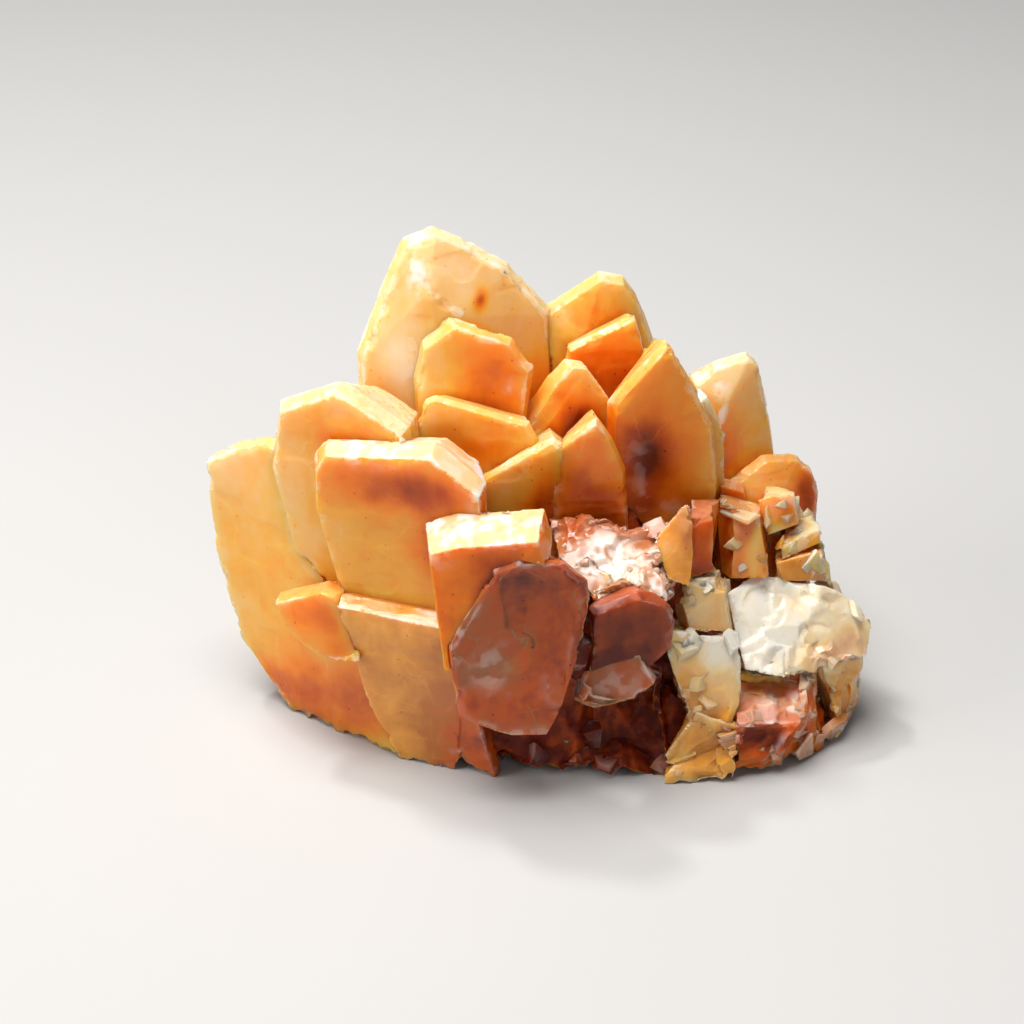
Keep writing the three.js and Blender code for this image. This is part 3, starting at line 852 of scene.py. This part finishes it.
# %% Grow one crystal
HEART_DEEPER = 0.08  # how much deeper in tone a crystal is in its heart than at its rims
# painted shade: how much deeper in tone
PAINTED_CREVICE_SHADE = 0.12  # where its neighbours shut it in
# painted glare of the light from above, on frosted tops
PAINTED_TOP_GLARE = 0.12  # and how much paler its frosted top is
JUST_OUT = 0.01  # a ray starts this far from the surface, in mm, so that it doesn't meet it
JUST_IN = 0.05
SMOOTH_BELOW = math.radians(30)
LEANING = {"glassy_shard"}  # crystals that only lean on their neighbours, with their seams left open
BROKEN_KINDS = ("block", "rubble")
SEED_STEP = 31


def grow(name, kind, tone, frost, clouds, older, seed):
    """Turns a CAD crystal into its finished piece; older is what grew before it."""
    shape, grain = SHAPES[kind]
    piece = merged_copy(name)
    mesh = piece.data
    if older and name not in LEANING:
        free_faces = close_seams(mesh, tree_of_solids(older))
    else:
        free_faces = [True] * len(mesh.polygons)
    own = tree_of(mesh)
    free_edges = sharp_edges(mesh, free_faces)
    refine(piece, grain)
    points, normals = points_of(mesh)
    rim, _ = nearest_edge(points, *free_edges)
    others = tree_of_solids(other for other in solids if other != name)
    gap = look_along(points + JUST_OUT * normals, normals, others, SKY)
    thickness = look_along(points - JUST_IN * normals, -normals, own, SKY)

    moved = points + shape(points, normals, rim, seed)
    moved[:, 2] = np.maximum(moved[:, 2], 0) + ragged_foot(points, seed + 3)
    set_points(mesh, moved)

    # its tone, with painted shade where its neighbours shut it in, and its frosted tops paler as painted
    # glare
    crevice_shade = soften(mesh, ramp(gap, SKY, 0), 4)
    heart = soften(mesh, ramp(thickness, 0.5, SKY), 4)
    facing_top_light = ramp(normals[:, 2] + 0.15 * noise(points, 1.3, seed + 4), 0.3, 0.75)
    own_tone = tone + HEART_DEEPER * (heart - 0.5) + PAINTED_CREVICE_SHADE * crevice_shade - PAINTED_TOP_GLARE * frost * facing_top_light
    own_box = points.min(axis=0)[[0, 2]], np.ptp(points, axis=0)[[0, 2]]
    painted = own_tone + cloud_tone(points, clouds, seed, *own_box) * (1 - 0.8 * frost * facing_top_light)
    if kind in BROKEN_KINDS:
        painted += cloud_tone(points, ZONES, 0, np.zeros(2), 1)
    set_mask(mesh, "tone", painted)

    # its frost and painted glare: a broken crust along the upward rims, partly a painted highlight, a
    # dusting on the tops, partly painted glare, both thinned as painted shade where neighbours shut it in,
    # and the patches, some of them painted glints
    rim_crust_and_glint = ramp(rim + 0.35 * noise(points, 0.6, seed + 5), 0.35, 0.0) * ramp(normals[:, 2], -0.3, 0.3)
    rim_crust_and_glint *= ramp(noise(points, 2.4, seed + 10), -0.5, 0.4)
    lace = ramp(noise(points, 0.8, seed + 6) + 0.8 * noise(points, 0.35, seed + 7), -0.4, 0.6)
    frosting_and_glint_patches = cloud_tone(points, FROST_AND_GLINT_PATCHES.get(name, []), seed + 8, *own_box)
    rim_and_top_frosting_glare = np.maximum((0.7 + 0.3 * frost) * rim_crust_and_glint, 0.6 * frost * facing_top_light) * (1 - 0.8 * crevice_shade)
    set_mask(mesh, "frost", (0.5 + 0.5 * lace) * rim_and_top_frosting_glare + (0.1 + 0.9 * lace) * frosting_and_glint_patches)

    mesh.transform(Matrix.Scale(MM, 4))
    activate(piece)
    bpy.ops.object.shade_smooth_by_angle(angle=SMOOTH_BELOW)
    surfaces[name] = (moved, normals, gap, painted)
    return piece


# %% Grow them all
surfaces = {}  # what the loose grains need to know about each crystal
grown = []
triangles = 0
for name, (finish, kind, tone, frost, clouds) in CRYSTALS.items():
    piece = grow(name, kind, tone, frost, clouds, grown, SEED_STEP * len(grown))
    piece.data.materials.append(FINISHES[finish])
    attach(piece, "root")
    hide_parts(name)
    grown.append(name)
    triangles += 2 * len(piece.data.polygons)
print("grew", len(grown), "crystals of", triangles, "triangles")

# %% [markdown]
# ## Sugar: loose grains on the broken quartz
# Where the cluster was knocked off its bed, the quartz is a crust of small angular grains with white,
# glittering faces. Each grain is a block cut by a few planes, which is how brittle crystals really break. A
# handful are modelled, with the Bisect tool, and copied with random turns and sizes onto the open parts of
# the broken pieces.


# %% Model a few grains
CUTS = 6
CUT_NEAREST, CUT_FURTHEST = 0.3, 0.45  # how far from the grain's middle a cut goes


def cut_grain(seed):
    """The points and triangles of a grain about 1 across: a block with its corners cut off by planes."""
    random = np.random.default_rng(seed)
    bpy.ops.object.select_all(action="DESELECT")
    bpy.ops.mesh.primitive_cube_add(size=1)
    grain = bpy.context.object
    bpy.ops.object.mode_set(mode="EDIT")
    bpy.ops.mesh.select_all(action="SELECT")
    bpy.ops.transform.resize(value=(1.2, 0.9, random.uniform(0.5, 1.0)))
    for _ in range(CUTS):
        axis = Vector(random.normal(size=3)).normalized()
        bpy.ops.mesh.select_all(action="SELECT")
        cut = axis * random.uniform(CUT_NEAREST, CUT_FURTHEST)
        bpy.ops.mesh.bisect(plane_co=cut, plane_no=axis, use_fill=True, clear_outer=True)
    bpy.ops.mesh.select_all(action="SELECT")
    bpy.ops.mesh.remove_doubles(threshold=0.02)
    bpy.ops.mesh.normals_make_consistent(inside=False)
    bpy.ops.mesh.quads_convert_to_tris()
    bpy.ops.object.mode_set(mode="OBJECT")
    points = np.array([v.co[:] for v in grain.data.vertices])
    triangles = np.array([p.vertices[:] for p in grain.data.polygons])
    bpy.data.objects.remove(grain)
    return points, triangles


GRAIN_SHAPES = 8
GRAINS = [cut_grain(seed) for seed in range(GRAIN_SHAPES)]
print("grains of", [len(triangles) for _, triangles in GRAINS], "triangles")


# %% Scatter them
OPEN = 0.8  # a grain needs this much room above it, in mm
UNDERSIDE = -0.75  # no grain hangs where the surface faces down more than this
FLATTEN = 0.45
SUNK = (0.05, 0.22)  # how far its middle is in the surface, in its own widths


def scatter_grains(host, finish, count, smallest, largest, paler, frost, flattest, seed):
    """One piece of many grains, half sunk in the open surface of a crystal."""
    random = np.random.default_rng(seed)
    points, normals, gap, tones = surfaces[host]
    facing = normals[:, 2]
    open_places = np.flatnonzero((gap > OPEN) & (facing > UNDERSIDE) & (facing < flattest))
    all_points, all_triangles, all_tones = [], [], []
    start = 0
    for place in random.choice(open_places, count):
        shape, triangles = GRAINS[random.integers(len(GRAINS))]
        width = smallest * (largest / smallest) ** (random.random() ** 2)
        turn = Matrix.Rotation(random.uniform(0, 2 * math.pi), 3, Vector(random.normal(size=3)))
        turned = shape @ np.array(turn) * width
        up = normals[place]
        turned -= FLATTEN * np.outer(turned @ up, up)
        placed = turned + points[place] - up * random.uniform(*SUNK) * width
        placed[:, 2] += max(0, -placed[:, 2].min())
        all_points.append(placed)
        all_triangles.append(triangles + start)
        all_tones.append(np.full(len(placed), tones[place] - paler + random.normal(0, 0.07)))
        start += len(placed)
    mesh = bpy.data.meshes.new(host + "_grains")
    mesh.from_pydata(np.concatenate(all_points) * MM, [], np.concatenate(all_triangles).tolist())
    tone = np.concatenate(all_tones)
    set_mask(mesh, "tone", tone)
    set_mask(mesh, "frost", np.clip(frost + random.normal(0, 0.2, len(tone)), 0, 1))
    piece = bpy.data.objects.new(mesh.name, mesh)
    bpy.context.collection.objects.link(piece)
    mesh.materials.append(FINISHES[finish])
    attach(piece, "root")
    return piece


# %% The broken crystals that carry grains
# host: (finish, how many, smallest and largest width in mm, how much paler than the host, frost,
#        and how far up the surface may face, where 1 is straight up)
SUGAR = {
    "frosty_saddle": ("frosted_quartz", 40, 0.4, 1.6, 0.0, 0.4, 1.0),
    "milky_slab": ("frosted_quartz", 50, 0.6, 2.8, 0.0, 0.3, 0.45),
    "yellow_shard": ("golden_quartz", 12, 0.8, 2.6, 0.03, 0.15, 0.6),
    "golden_shard": ("golden_quartz", 8, 0.8, 2.4, 0.03, 0.1, 0.6),
    "rusty_lump": ("frosted_quartz", 40, 0.4, 1.8, 0.2, 0.1, 1.0),
    "end_block": ("golden_quartz", 12, 0.6, 2.4, 0.0, 0.15, 0.6),
    "brown_root_block": ("honey_quartz", 8, 0.6, 2.0, 0.1, 0.3, 1.0),
    "right_cube_upper": ("honey_quartz", 9, 0.6, 1.8, 0.1, 0.4, 1.0),
    "right_cube_ledge": ("honey_quartz", 9, 0.6, 1.8, 0.1, 0.4, 1.0),
    "right_cube_lower": ("honey_quartz", 9, 0.6, 2.0, 0.1, 0.3, 1.0),
    "beige_splinter": ("golden_quartz", 10, 0.6, 2.2, 0.0, 0.2, 1.0),
    "root_matrix": ("smoky_brown_quartz", 160, 0.4, 2.2, 0.02, 0.0, 1.0),
}
FIRST_SEED = 500
for seed, (host, settings) in enumerate(SUGAR.items(), FIRST_SEED):
    scatter_grains(host, *settings, seed)
print("grains on", list(SUGAR))
